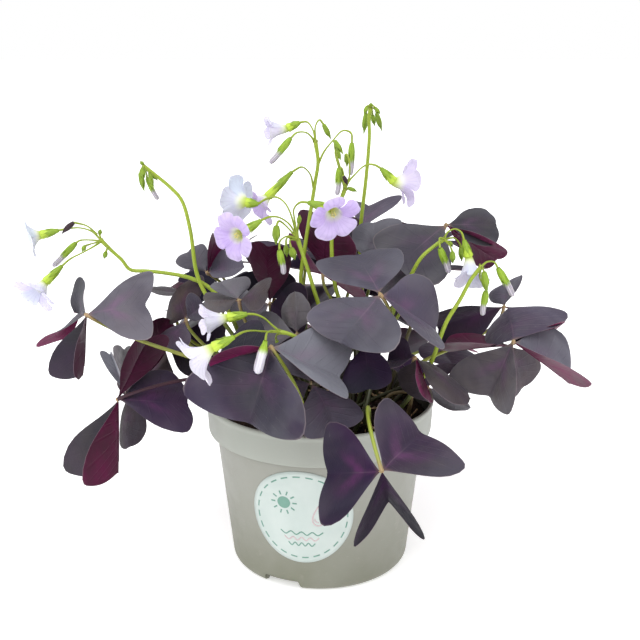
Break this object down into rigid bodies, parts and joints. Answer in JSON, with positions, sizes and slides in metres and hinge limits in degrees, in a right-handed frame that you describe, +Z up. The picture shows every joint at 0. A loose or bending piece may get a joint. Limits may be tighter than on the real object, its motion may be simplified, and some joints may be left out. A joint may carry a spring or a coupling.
{
  "type": "potted purple shamrock",
  "caption": "Purple shamrock in a round nursery pot: folded three-part purple leaves on thin stems and nodding stalks of small lilac flowers.",
  "frame": {"origin": "centre of the pot's flat bottom, on the surface it stands on", "axes": "+Z up along the pot's axis, -Y towards the label and the viewer, +X to the right"},
  "size_m": [0.288, 0.2908, 0.2381],
  "materials": {
    "pot": "smooth moulded plastic, satin",
    "soil": "moist dark peat",
    "label": "smooth sticker film",
    "leaf": "velvety, dull",
    "stalk": "smooth, waxy",
    "petal_lilac": "thin, soft",
    "petal_white": "thin, soft"
  },
  "bodies": {
    "root": {"pot": "pot", "soil": "soil", "label": "label", "leaf_01": "leaf", "leaf_02": "leaf", "leaf_03": "leaf", "leaf_04": "leaf", "leaf_05": "leaf", "leaf_06": "leaf", "leaf_07": "leaf", "leaf_08": "leaf", "leaf_09": "leaf", "leaf_10": "leaf", "leaf_11": "leaf", "leaf_12": "leaf", "leaf_13": "leaf", "leaf_14": "leaf", "leaf_15": "leaf", "leaf_16": "leaf", "leaf_17": "leaf", "leaf_18": "leaf", "leaf_19": "leaf", "leaf_20": "leaf", "leaf_21": "leaf", "leaf_22": "leaf", "leaf_23": "leaf", "leaf_24": "leaf", "leaf_25": "leaf", "leaf_26": "leaf", "leaf_27": "leaf", "leaf_28": "leaf", "leaf_29": "leaf", "leaf_30": "leaf", "leaf_31": "leaf", "leaf_32": "leaf", "leaf_33": "leaf", "leaf_34": "leaf", "leaf_35": "leaf", "leaf_36": "leaf", "flower_stalk_1": "stalk", "flower_stalk_2": "stalk", "flower_stalk_3": "stalk", "flower_stalk_4": "stalk", "flower_stalk_5": "stalk", "flower_stalk_6": "stalk", "flower_stalk_7": "stalk", "flower_stalk_8": "stalk", "flower_stalk_9": "stalk", "flower_01": "petal_white", "flower_02": "petal_lilac", "flower_03": "petal_lilac", "flower_04": "petal_lilac", "flower_05": "petal_lilac", "flower_06": "petal_white", "flower_07": "petal_lilac", "flower_08": "petal_lilac", "flower_09": "petal_white", "flower_10": "petal_white", "flower_11": "petal_white"}
  },
  "joints": []
}
